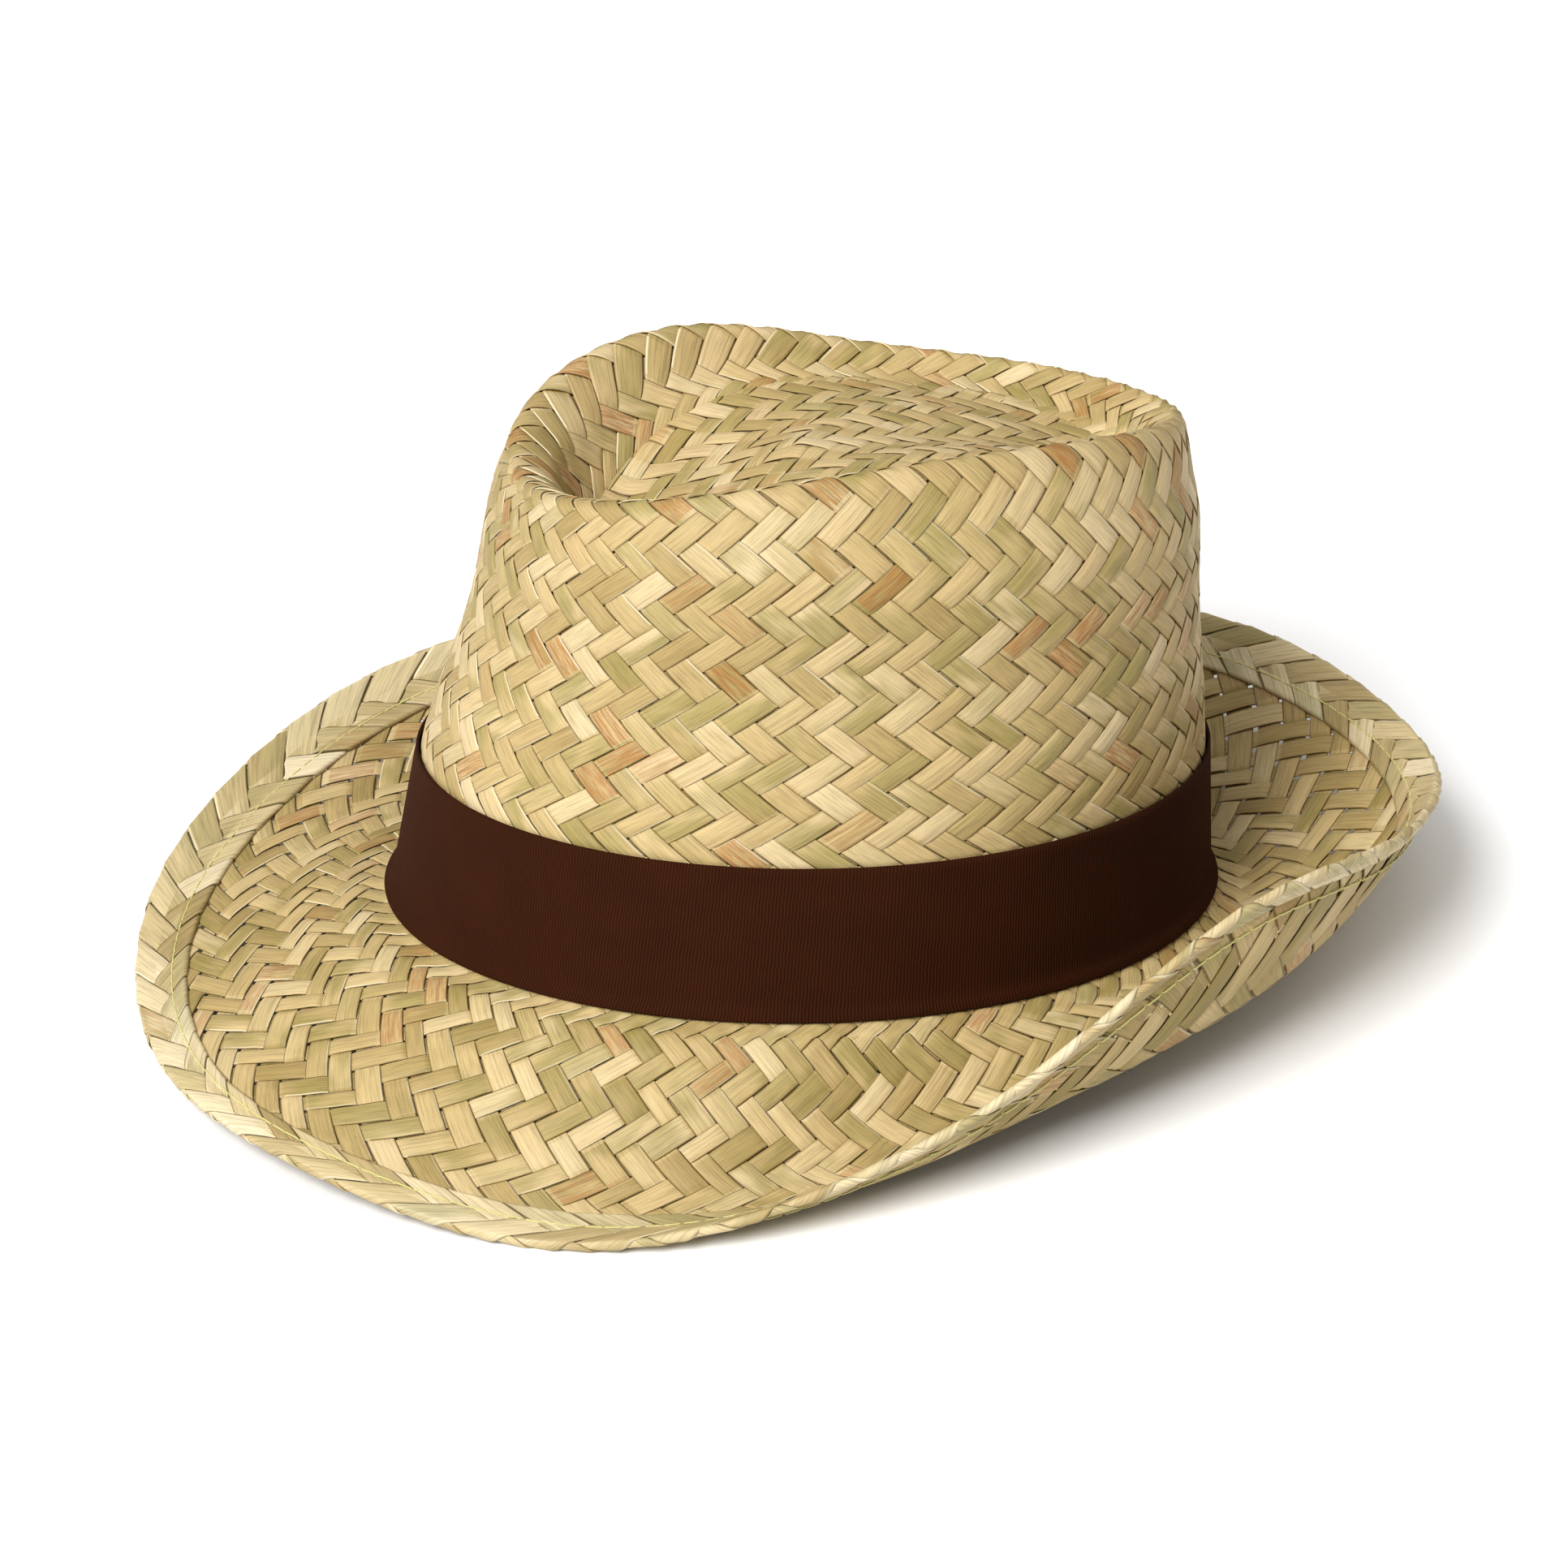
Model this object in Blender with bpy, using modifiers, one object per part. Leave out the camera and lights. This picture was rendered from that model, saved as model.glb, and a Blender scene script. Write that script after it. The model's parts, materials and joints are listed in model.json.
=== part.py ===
"""A woven straw hat: a crown with a teardrop dent, a shaped brim with a folded hem, and a fabric band.

The hat is first drawn in its own axes, with the foot of the crown at z = 0 and the front towards -Y.
It is then laid on the ground the way its own brim carries it, which tips it back a little.
"turn" is the angle round the hat, 0 at the front and counter-clockwise seen from above, so 90 degrees
is the wearer's left (+X), 180 the back and 270 the wearer's right.
"""
import math

import bmesh
import bpy
import numpy as np
from mathutils import Vector, geometry

# Sizes of the hat, in metres
HEAD_LENGTH = 0.204      # outside of the straw at the foot of the crown, front to back
HEAD_WIDTH = 0.174       # the same, side to side
CROWN_HEIGHT = 0.130     # top of the highest ridge above the foot
WALL_LEAN = 0.0044       # how far the wall leans in over the height of the band
WALL_BACK = 0.0025       # how far it leans back over the same height
BRIM_REACH = 0.060       # brim from the crown to its edge, seen from above
BRIM_LIFT = 0.032        # highest turn-up of the brim's edge above the foot
STRAW = 0.0018           # thickness of the woven straw
FOOT_RADIUS = 0.006      # curve where the crown turns out into the brim
HEM_WIDTH = 0.0155       # straw folded back along the brim's edge
HEM_THICKNESS = 0.0034   # two layers of straw
BAND_WIDTH = 0.038
BAND_THICKNESS = 0.0011
BAND_FOOT = 0.0016       # lower edge of the band above the foot of the crown
CLEARANCE = 0.0003       # gap between pieces that touch

# Steps of the surfaces
CROWN_TURNS, CROWN_STEPS = 56, 22
BRIM_TURNS, BRIM_STEPS = 60, 11
HEM_STEPS = 3
BAND_STEPS = 6

# Rings of the crown, from the top of the band up over the ridge and down into the dent.
# front, back: reach along the length as shares of half HEAD_LENGTH; side: share of half HEAD_WIDTH
# z_front, z_back, z_left, z_right: heights as shares of CROWN_HEIGHT
# point: how much narrower the ring is towards the back
# corner: how far its two front corners bulge, a share of its reach
# peak: extra height of its front right corner, a share of CROWN_HEIGHT
RING_COLUMNS = ("front", "back", "side", "z_front", "z_back", "z_left", "z_right",
                "point", "corner", "peak")
CROWN_RINGS = {
    "waist":          (0.813, 0.951, 0.879, 0.566, 0.575, 0.582, 0.577, 0.00, 0.012, 0.000),
    "shoulder":       (0.713, 0.927, 0.814, 0.797, 0.802, 0.874, 0.835, 0.02, 0.089, 0.060),
    "ridge":          (0.656, 0.883, 0.698, 0.844, 0.915, 0.993, 0.896, 0.03, 0.114, 0.089),
    "inner_shoulder": (0.602, 0.840, 0.668, 0.826, 0.895, 0.982, 0.869, 0.05, 0.075, 0.062),
    "dent_foot":      (0.525, 0.732, 0.539, 0.667, 0.835, 0.890, 0.851, 0.16, 0.004, 0.046),
    "dome":           (0.360, 0.520, 0.340, 0.740, 0.860, 0.900, 0.875, 0.20, 0.000, 0.000),
    "top":            (0.030, 0.170, 0.110, 0.885, 0.885, 0.885, 0.885, 0.00, 0.000, 0.000),
}
CORNER_TURN = math.radians(45)   # the two front corners, either side of the front
PEAK_TURN = math.radians(-64)    # the highest point of the front right corner
CORNER_POWER = 6                 # how narrow each corner is

# The brim's edge, every 30 degrees of turn.
# reach: share of BRIM_REACH; lift: share of BRIM_LIFT; curl: how late the brim turns up or down;
# dip: how far it sags between the crown and the edge, a share of BRIM_LIFT;
# low: where the sag is deepest, as a share of the brim; hem: share of HEM_WIDTH
EDGE_COLUMNS = ("reach", "lift", "curl", "dip", "low", "hem")
BRIM_EDGE = {
    0:   (1.06, -0.76, 1.25, 0.07, 0.60, 0.84),
    30:  (1.02, -0.86, 1.23, 0.09, 0.61, 0.56),
    60:  (0.86, -1.06, 1.05, 0.25, 0.64, 0.85),
    90:  (0.68, -0.30, 1.00, 0.57, 0.48, 0.99),
    120: (0.73, 1.02, 2.43, 0.46, 0.68, 1.00),
    150: (0.88, 0.99, 2.89, 0.06, 0.67, 1.04),
    180: (0.96, 0.84, 2.22, -0.12, 0.60, 0.95),
    210: (0.94, 0.98, 1.98, -0.05, 0.60, 1.06),
    240: (0.90, 0.90, 2.09, 0.00, 0.60, 1.00),
    270: (0.90, 0.80, 2.07, 0.08, 0.60, 1.00),
    300: (1.02, 0.46, 1.80, 0.13, 0.60, 1.15),
    330: (1.08, -0.22, 1.47, 0.14, 0.60, 1.17),
}

COLLECTION = "straw_hat"


def through(knots, values, at):
    """Smooth curve through the values at the knots: cubic Hermite pieces with central slopes."""
    knots, values, at = (np.asarray(a, float) for a in (knots, values, at))
    slopes = np.gradient(values, knots, axis=0)
    i = np.clip(np.searchsorted(knots, at, side="right") - 1, 0, len(knots) - 2)
    gap = knots[i + 1] - knots[i]
    t = (at - knots[i]) / gap
    if values.ndim > 1:
        gap, t = gap[..., None], t[..., None]
    return ((1 + 2 * t) * (1 - t) ** 2 * values[i] + t * (1 - t) ** 2 * gap * slopes[i]
            + t ** 2 * (3 - 2 * t) * values[i + 1] + t ** 2 * (t - 1) * gap * slopes[i + 1])


def round_the_hat(turn, length, width):
    """Points of an oval of the given length and width, as a pair of x and y."""
    return width / 2 * np.sin(turn), -length / 2 * np.cos(turn)


def wall_inset(z):
    """The wall leans in steadily with height, and flares out on FOOT_RADIUS below it."""
    drop = np.clip(FOOT_RADIUS - z, 0, FOOT_RADIUS)
    flare = FOOT_RADIUS - np.sqrt(FOOT_RADIUS ** 2 - drop ** 2)
    return WALL_LEAN * z / BAND_WIDTH - flare


def wall_points(turn, z):
    """The straw's outside below the top of the band: the head oval drawn in by wall_inset(z)."""
    inset = wall_inset(z)
    x, y = round_the_hat(turn, HEAD_LENGTH - 2 * inset, HEAD_WIDTH - 2 * inset)
    return np.stack([x, y + WALL_BACK * z / BAND_WIDTH, z + 0 * x], axis=-1)


def near_turn(turn, middle):
    """1 at the middle turn, falling to 0 a quarter turn away."""
    return np.maximum(0, np.cos(turn - middle)) ** CORNER_POWER


def ring_points(turn, ring):
    """A ring of the crown: an egg about its own middle, with heights that swing round the hat."""
    r = dict(zip(RING_COLUMNS, ring))
    front, back = r["front"] * HEAD_LENGTH / 2, r["back"] * HEAD_LENGTH / 2
    bulge = 1 + r["corner"] * (near_turn(turn, CORNER_TURN) + near_turn(turn, -CORNER_TURN))
    along = -np.cos(turn)
    y = (back - front) / 2 + (front + back) / 2 * along * bulge
    x = r["side"] * HEAD_WIDTH / 2 * np.sin(turn) * (1 - r["point"] * along) * bulge
    ends, sides = (r["z_front"] + r["z_back"]) / 2, (r["z_left"] + r["z_right"]) / 2
    z = ((ends + sides) / 2 + (ends - sides) / 2 * np.cos(2 * turn) + (r["z_back"] - r["z_front"]) / 2 * along
         + (r["z_left"] - r["z_right"]) / 2 * np.sin(turn) + r["peak"] * near_turn(turn, PEAK_TURN))
    return np.stack([x, y, z * CROWN_HEIGHT], axis=-1)


def crown_points(turn, v):
    """The crown's outside: v runs 0 to 1 from the seam up the wall, over the ridge to the dent's middle."""
    heights = (FOOT_RADIUS, (FOOT_RADIUS + BAND_WIDTH) / 2, BAND_WIDTH)
    rings = [wall_points(turn, z) for z in heights] + [ring_points(turn, r) for r in CROWN_RINGS.values()]
    rings = np.stack(rings)
    steps = np.linalg.norm(np.diff(rings, axis=0), axis=-1)
    run = np.concatenate([[0], np.cumsum(steps.reshape(len(steps), -1).mean(axis=1))])
    return through(run / run[-1], rings, v)


def brim_edge(turn):
    """reach, lift, curl, dip, place and hem width of the brim at a turn, read smoothly from BRIM_EDGE.

    place is the power that puts the deepest sag at "low": low ^ place = 1/2
    """
    degrees = np.array(sorted(BRIM_EDGE), float)
    rows = np.array([BRIM_EDGE[d] for d in sorted(BRIM_EDGE)])
    degrees = np.concatenate([degrees - 360, degrees, degrees + 360])
    at = through(degrees, np.tile(rows, (3, 1)), np.degrees(turn) % 360)
    reach, lift, curl, dip, low, hem = np.moveaxis(at, -1, 0)
    return reach * BRIM_REACH, lift * BRIM_LIFT, curl, dip * BRIM_LIFT, np.log(0.5) / np.log(low), hem * HEM_WIDTH


def brim_points(turn, s):
    """The brim's top: s runs 0 to 1 from the end of the foot's curve to the edge.

    z = lift s^curl - dip sin(pi s^place)
    """
    reach, lift, curl, dip, place, _ = brim_edge(turn)
    x, y = round_the_hat(turn, HEAD_LENGTH + 2 * FOOT_RADIUS, HEAD_WIDTH + 2 * FOOT_RADIUS)
    out = np.hypot(x, y)
    scale = 1 + (reach - FOOT_RADIUS) * s / out
    z = lift * s ** curl - dip * np.sin(math.pi * s ** place)
    return np.stack([x * scale, y * scale, z], axis=-1)


def hem_start(turn, gap=0.0):
    """The share s of the brim at which the hem, widened by the gap, starts, from the slope at the edge."""
    reach, lift, curl, dip, place, hem = brim_edge(turn)
    return 1 - (hem + gap) / np.hypot(reach, lift * curl + dip * math.pi * place)


def collar_points(turn, a):
    """The foot's curve: a runs 0 to 1 from just under the seam to where the brim starts."""
    z = (FOOT_RADIUS - CLEARANCE) * (1 - a)
    return wall_points(turn, z)


def mesh_piece(name, material, rings, close_last=False, reverse=False):
    """An object from closed rings of points, each ring joined to the next by a row of faces."""
    count = rings.shape[1]
    i = np.arange(count)
    faces = []
    for row in range(len(rings) - 1):
        a, b = row * count, (row + 1) * count
        faces += np.stack([a + i, a + (i + 1) % count, b + (i + 1) % count, b + i], axis=1).tolist()
    if close_last:
        faces.append(((len(rings) - 1) * count + i).tolist())
    if reverse:
        faces = [f[::-1] for f in faces]
    mesh = bpy.data.meshes.new(name)
    mesh.from_pydata(rings.reshape(-1, 3).tolist(), [], faces)
    mesh.shade_smooth()
    mesh.materials.append(material)
    piece = bpy.data.objects.new(name, mesh)
    return piece


def thicken(piece, thickness, offset=-1.0):
    """Solidify the piece's open surface; offset -1 grows the wall inwards."""
    solid = piece.modifiers.new("thickness", "SOLIDIFY")
    solid.thickness = thickness
    solid.offset = offset
    solid.use_even_offset = True
    return piece


def make_material(name, colour, roughness):
    material = bpy.data.materials.new(name)
    material.use_nodes = True
    shader = material.node_tree.nodes["Principled BSDF"]
    shader.inputs["Base Color"].default_value = (*colour, 1.0)
    shader.inputs["Roughness"].default_value = roughness
    return material


def turns(count):
    return np.arange(count) * 2 * math.pi / count


def make_crown():
    turn = turns(CROWN_TURNS)
    rings = np.stack([crown_points(turn, v) for v in np.linspace(0, 1, CROWN_STEPS)])
    straw = make_material("crown_straw", (0.55, 0.42, 0.23), 0.6)
    return thicken(mesh_piece("crown", straw, rings, close_last=True), STRAW)


def make_brim():
    turn = turns(BRIM_TURNS)
    inner = hem_start(turn, CLEARANCE)
    collar = [collar_points(turn, a) for a in (0, 0.4, 0.75)]
    flat = [brim_points(turn, inner * s) for s in np.linspace(0, 1, BRIM_STEPS)]
    straw = make_material("brim_straw", (0.52, 0.40, 0.22), 0.6)
    return thicken(mesh_piece("brim", straw, np.stack(collar + flat), reverse=True), STRAW)


def make_hem():
    turn = turns(BRIM_TURNS)
    inner = hem_start(turn)
    rings = np.stack([brim_points(turn, inner + (1 - inner) * s) for s in np.linspace(0, 1, HEM_STEPS + 1)])
    straw = make_material("hem_straw", (0.50, 0.39, 0.21), 0.6)
    return thicken(mesh_piece("brim_hem", straw, rings, reverse=True), HEM_THICKNESS, offset=0)


def make_band():
    turn = turns(CROWN_TURNS)
    surface = np.stack([wall_points(turn, z) for z in np.linspace(BAND_FOOT, BAND_WIDTH, BAND_STEPS)])
    out = surface - np.array([0, 0, 1]) * surface
    out /= np.linalg.norm(out, axis=-1, keepdims=True)
    fabric = make_material("band_fabric", (0.045, 0.012, 0.004), 0.85)
    return thicken(mesh_piece("hat_band", fabric, surface + out * CLEARANCE * 1.5), BAND_THICKNESS, offset=1)


def inside(point, corners):
    return geometry.intersect_point_tri_2d(point.to_2d(), *(c.to_2d() for c in corners)) != 0


def rest_turn(points, weight):
    """The rotation that lays a body on the ground: the face of its convex hull under its weight goes down."""
    hull = bmesh.new()
    for p in points:
        hull.verts.new(p)
    bmesh.ops.convex_hull(hull, input=hull.verts, use_existing_faces=False)
    bmesh.ops.triangulate(hull, faces=hull.faces)
    hull.normal_update()
    best = min((f for f in hull.faces if f.normal.z < -0.5 and inside(weight, [v.co for v in f.verts])),
               key=lambda f: f.normal.z)
    spin = best.normal.copy().rotation_difference(Vector((0, 0, -1)))
    hull.free()
    return spin


def lay_down(pieces):
    """Turn the hat the way it rests, then put the middle of its bounding box's bottom at the origin."""
    graph = bpy.context.evaluated_depsgraph_get()
    clouds = []
    for piece in pieces:
        shape = piece.evaluated_get(graph).to_mesh()
        cloud = np.empty(len(shape.vertices) * 3)
        shape.vertices.foreach_get("co", cloud)
        clouds.append(cloud.reshape(-1, 3))
        piece.evaluated_get(graph).to_mesh_clear()
    cloud = np.concatenate(clouds)
    spin = rest_turn(cloud[cloud[:, 2] < CROWN_HEIGHT / 3].tolist(), Vector(cloud.mean(axis=0)))
    laid = cloud @ np.array(spin.to_matrix()).T
    low, high = laid.min(axis=0), laid.max(axis=0)
    stand = bpy.data.objects.new("hat", None)
    stand.rotation_mode = "QUATERNION"
    stand.rotation_quaternion = spin
    stand.location = (-(low[0] + high[0]) / 2, -(low[1] + high[1]) / 2, -low[2])
    for piece in pieces:
        piece.parent = stand
    return stand


def main():
    for old in list(bpy.data.objects):
        bpy.data.objects.remove(old, do_unlink=True)
    group = bpy.data.collections.new(COLLECTION)
    bpy.context.scene.collection.children.link(group)
    pieces = [make_crown(), make_brim(), make_hem(), make_band()]
    for piece in pieces:
        group.objects.link(piece)
    bpy.context.view_layer.update()
    group.objects.link(lay_down(pieces))
    bpy.context.view_layer.update()


main()
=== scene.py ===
"""Looks of a woven straw hat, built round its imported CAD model.

Every piece is first worked out in the hat's own axes, with the foot of the crown at z = 0 and the front
towards -Y, and then laid down as the CAD is. "turn" is the angle round the hat, 0 at the front and
counter-clockwise seen from above.

The straw is woven for real: two families of flat strips run up and round the hat, lean opposite ways and
pass over and under each other by twos, in zigzag rows. Each part of the straw is a pair of pieces, named
right and left for the lean of their strips.
"""
import json
import math

import bpy
import numpy as np
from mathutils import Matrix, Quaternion, Vector


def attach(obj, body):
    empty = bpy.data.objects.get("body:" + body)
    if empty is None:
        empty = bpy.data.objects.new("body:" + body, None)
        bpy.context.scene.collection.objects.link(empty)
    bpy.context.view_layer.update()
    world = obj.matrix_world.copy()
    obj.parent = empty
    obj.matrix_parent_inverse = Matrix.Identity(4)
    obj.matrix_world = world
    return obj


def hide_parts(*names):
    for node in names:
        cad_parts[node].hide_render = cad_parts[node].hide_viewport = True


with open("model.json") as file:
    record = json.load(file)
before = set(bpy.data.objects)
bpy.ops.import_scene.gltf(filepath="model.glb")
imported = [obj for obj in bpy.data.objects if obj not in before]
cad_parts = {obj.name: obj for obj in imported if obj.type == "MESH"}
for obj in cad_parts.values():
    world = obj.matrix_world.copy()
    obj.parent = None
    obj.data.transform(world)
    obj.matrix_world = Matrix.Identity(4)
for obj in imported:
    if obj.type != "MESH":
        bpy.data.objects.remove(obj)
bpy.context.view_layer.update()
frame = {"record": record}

# Shape of the hat, in metres, as its CAD has it
HEAD_LENGTH = 0.204
HEAD_WIDTH = 0.174
CROWN_HEIGHT = 0.130
WALL_LEAN = 0.0044       # how far the wall leans in over the height of the band
WALL_BACK = 0.0025       # how far it leans back over the same height
BRIM_REACH = 0.060
BRIM_LIFT = 0.032
STRAW = 0.0018           # thickness of the woven straw
FOOT_RADIUS = 0.006      # curve where the crown turns out into the brim
HEM_WIDTH = 0.0155
BAND_WIDTH = 0.038
BAND_FOOT = 0.0016       # lower edge of the band above the foot of the crown

# Rings of the crown from the top of the band up over the ridge and down into the dent, as in the CAD
RING_COLUMNS = ("front", "back", "side", "z_front", "z_back", "z_left", "z_right",
                "point", "corner", "peak")
CROWN_RINGS = {
    "waist":          (0.813, 0.951, 0.879, 0.566, 0.575, 0.582, 0.577, 0.00, 0.012, 0.000),
    "shoulder":       (0.713, 0.927, 0.814, 0.797, 0.802, 0.874, 0.835, 0.02, 0.089, 0.060),
    "ridge":          (0.656, 0.883, 0.698, 0.844, 0.915, 0.993, 0.896, 0.03, 0.114, 0.089),
    "inner_shoulder": (0.602, 0.840, 0.668, 0.826, 0.895, 0.982, 0.869, 0.05, 0.075, 0.062),
    "dent_foot":      (0.525, 0.732, 0.539, 0.667, 0.835, 0.890, 0.851, 0.16, 0.004, 0.046),
    "dome":           (0.360, 0.520, 0.340, 0.740, 0.860, 0.900, 0.875, 0.20, 0.000, 0.000),
    "top":            (0.030, 0.170, 0.110, 0.885, 0.885, 0.885, 0.885, 0.00, 0.000, 0.000),
}
CORNER_TURN = math.radians(45)
PEAK_TURN = math.radians(-64)
CORNER_POWER = 6
# The brim's edge, every 30 degrees of turn: reach, lift, curl, dip, low and hem, as in the CAD
BRIM_EDGE = {
    0:   (1.06, -0.76, 1.25, 0.07, 0.60, 0.84),
    30:  (1.02, -0.86, 1.23, 0.09, 0.61, 0.56),
    60:  (0.86, -1.06, 1.05, 0.25, 0.64, 0.85),
    90:  (0.68, -0.30, 1.00, 0.57, 0.48, 0.99),
    120: (0.73, 1.02, 2.43, 0.46, 0.68, 1.00),
    150: (0.88, 0.99, 2.89, 0.06, 0.67, 1.04),
    180: (0.96, 0.84, 2.22, -0.12, 0.60, 0.95),
    210: (0.94, 0.98, 1.98, -0.05, 0.60, 1.06),
    240: (0.90, 0.90, 2.09, 0.00, 0.60, 1.00),
    270: (0.90, 0.80, 2.07, 0.08, 0.60, 1.00),
    300: (1.02, 0.46, 1.80, 0.13, 0.60, 1.15),
    330: (1.08, -0.22, 1.47, 0.14, 0.60, 1.17),
}

# The weave, in metres and radians
STRIP_THICKNESS = 0.00040
STRIP_RISE = 0.00033     # how far a strip climbs over the strips it crosses
STRAW_MIDDLE = 0.0006    # middle of the woven straw, under the CAD's outside
STEEPEST = 0.76          # sine of the steepest lean of a strip
CROWN_STRIPS = 60        # strips in each family round the crown
STRIP_WIDTH = 0.0054     # width of the crown's strips
SEAM_DIVE = 0.0014       # how deep the crown's straw dives under the floor of the dent
SEAM_SHARE = 0.035       # share of the crown's straw that dives
TOP_STRIPS = 36          # strips in each family of the dent's floor
TOP_FILL = 0.96          # share of its place that each of them fills
FLOOR_MARGIN = 0.0068    # how far the floor's straw runs on under the dent's wall
BRIM_STRIPS = 78         # strips in each family round the brim
BRIM_STRIP_WIDTH = 0.0049    # their width by the crown
BRIM_SPREAD = 0.40       # how much wider the brim's weave is at its edge than at the crown
CLOSE_TURN = math.radians(75)    # where the brim's weave is closest
CLOSENESS = 0.19         # how much closer its strips lie there than on the average
HIGH_TURN = math.radians(205)    # where its crossings are highest
HEM_STRIPS = 64          # strips in each family round the hem
HEM_FIRST, HEM_LAST = 0.0, 3.3   # crossings at the hem's fold and at the brim's edge
SECTIONS = 5             # sections of a strip at each crossing
HEM_SECTIONS = 14        # the same in the hem, which bends more sharply
GRIP = 2.4               # how quickly a strip dives between the strips it crosses
CLOSE, FULL = 0.985, 1.0     # share of its place that a strip fills, nearly edge to edge and edge to edge
# How far strips stray: sideways and in width, in strips; in rise and thickness, as shares; tilt, in metres
DRIFT, NARROWING, RISE_STRAY, THICKNESS_STRAY, TILT = 0.035, 0.03, 0.16, 0.15, 0.00011
# Steps of the fine grids that the surfaces are read from: round the hat, then along each surface
ROUND_STEPS = 720
CROWN_ROWS, BRIM_ROWS, HEM_ROWS = 420, 300, 160
SEEDS = {"crown": 11, "top": 23, "brim": 31, "hem": 47, "hem_inside": 53}     # for the random draws
# A strip's cross-section: place across it in widths, and height in half thicknesses
SECTION = np.array([(-0.5, 0.0), (-0.42, 0.9), (0.42, 0.9), (0.5, 0.0), (0.42, -0.9), (-0.42, -0.9)])

# The hem's folded layer, in metres: heights over the brim's middle and distances from the edge
HEM_TOP = 0.00125
HEM_UNDER = -0.0006
UNDERSIDE_WIDTH = 0.0040  # how far the fold reaches in from the edge underneath
STITCH_LINE = 0.0115     # distance of the stitching from the edge
STITCH_NEAR = math.radians(110)  # where it comes nearest to the edge
THREAD_RADIUS = 0.00021
STITCH_LENGTH = 0.0046
STITCH_DIP = 0.0007      # how far it dips at its holes
HEM_INSIDE = 0.00030     # depth of the straw turned in under the hem's top layer
SHEET_THICKNESS = 0.0003     # of that straw

# The fabric band, in metres
BAND_GAP = 0.00035       # between the straw's highest points and the fabric
FABRIC_THICKNESS = 0.0008
RIB_SPACING, THREAD_SPACING = 0.75, 0.55     # of the cloth's ribs and slanting threads, in millimetres

# The photograph's camera, in the row frame
CAMERA_AZIMUTH = 77.156
CAMERA_ELEVATION = 29.961
CAMERA_ROLL = -2.089
CAMERA_DISTANCE = 1.22381
CAMERA_TARGET = (0.01775, -0.003806, 0.050)
CAMERA_LENS = 115.100


# Shapes of the hat


def through(knots, values, at):
    """Smooth curve through the values at the knots: cubic Hermite pieces with central slopes."""
    knots, values, at = (np.asarray(a, float) for a in (knots, values, at))
    slopes = np.gradient(values, knots, axis=0)
    i = np.clip(np.searchsorted(knots, at, side="right") - 1, 0, len(knots) - 2)
    gap = knots[i + 1] - knots[i]
    t = (at - knots[i]) / gap
    gap, t = (a.reshape(a.shape + (1,) * (values.ndim - 1)) for a in (gap, t))
    return ((1 + 2 * t) * (1 - t) ** 2 * values[i] + t * (1 - t) ** 2 * gap * slopes[i]
            + t ** 2 * (3 - 2 * t) * values[i + 1] + t ** 2 * (t - 1) * gap * slopes[i + 1])


def round_the_hat(turn, length, width):
    """Points of an oval of the given length and width, as a pair of x and y."""
    return width / 2 * np.sin(turn), -length / 2 * np.cos(turn)


def wall_inset(z):
    """The wall leans in steadily with height, and flares out on FOOT_RADIUS below it."""
    drop = np.clip(FOOT_RADIUS - z, 0, FOOT_RADIUS)
    flare = FOOT_RADIUS - np.sqrt(FOOT_RADIUS ** 2 - drop ** 2)
    return WALL_LEAN * z / BAND_WIDTH - flare


def wall_points(turn, z):
    """The straw's outside below the top of the band: the head oval drawn in by wall_inset(z)."""
    inset = wall_inset(z)
    x, y = round_the_hat(turn, HEAD_LENGTH - 2 * inset, HEAD_WIDTH - 2 * inset)
    return np.stack([x, y + WALL_BACK * z / BAND_WIDTH, z + 0 * x], axis=-1)


def near_turn(turn, middle):
    """1 at the middle turn, falling to 0 a quarter turn away."""
    return np.maximum(0, np.cos(turn - middle)) ** CORNER_POWER


def ring_points(turn, ring):
    """A ring of the crown: an egg about its own middle, with heights that swing round the hat."""
    r = dict(zip(RING_COLUMNS, ring))
    front, back = r["front"] * HEAD_LENGTH / 2, r["back"] * HEAD_LENGTH / 2
    bulge = 1 + r["corner"] * (near_turn(turn, CORNER_TURN) + near_turn(turn, -CORNER_TURN))
    along = -np.cos(turn)
    y = (back - front) / 2 + (front + back) / 2 * along * bulge
    x = r["side"] * HEAD_WIDTH / 2 * np.sin(turn) * (1 - r["point"] * along) * bulge
    ends, sides = (r["z_front"] + r["z_back"]) / 2, (r["z_left"] + r["z_right"]) / 2
    z = ((ends + sides) / 2 + (ends - sides) / 2 * np.cos(2 * turn) + (r["z_back"] - r["z_front"]) / 2 * along
         + (r["z_left"] - r["z_right"]) / 2 * np.sin(turn) + r["peak"] * near_turn(turn, PEAK_TURN))
    return np.stack([x, y, z * CROWN_HEIGHT], axis=-1)


def crown_knots(turn):
    """The rings that the crown's outside passes through, and their places from 0 to 1 along it."""
    heights = (FOOT_RADIUS, (FOOT_RADIUS + BAND_WIDTH) / 2, BAND_WIDTH)
    rings = [wall_points(turn, z) for z in heights] + [ring_points(turn, r) for r in CROWN_RINGS.values()]
    rings = np.stack(rings)
    steps = np.linalg.norm(np.diff(rings, axis=0), axis=-1)
    run = np.concatenate([[0], np.cumsum(steps.reshape(len(steps), -1).mean(axis=1))])
    return run / run[-1], rings


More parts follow.
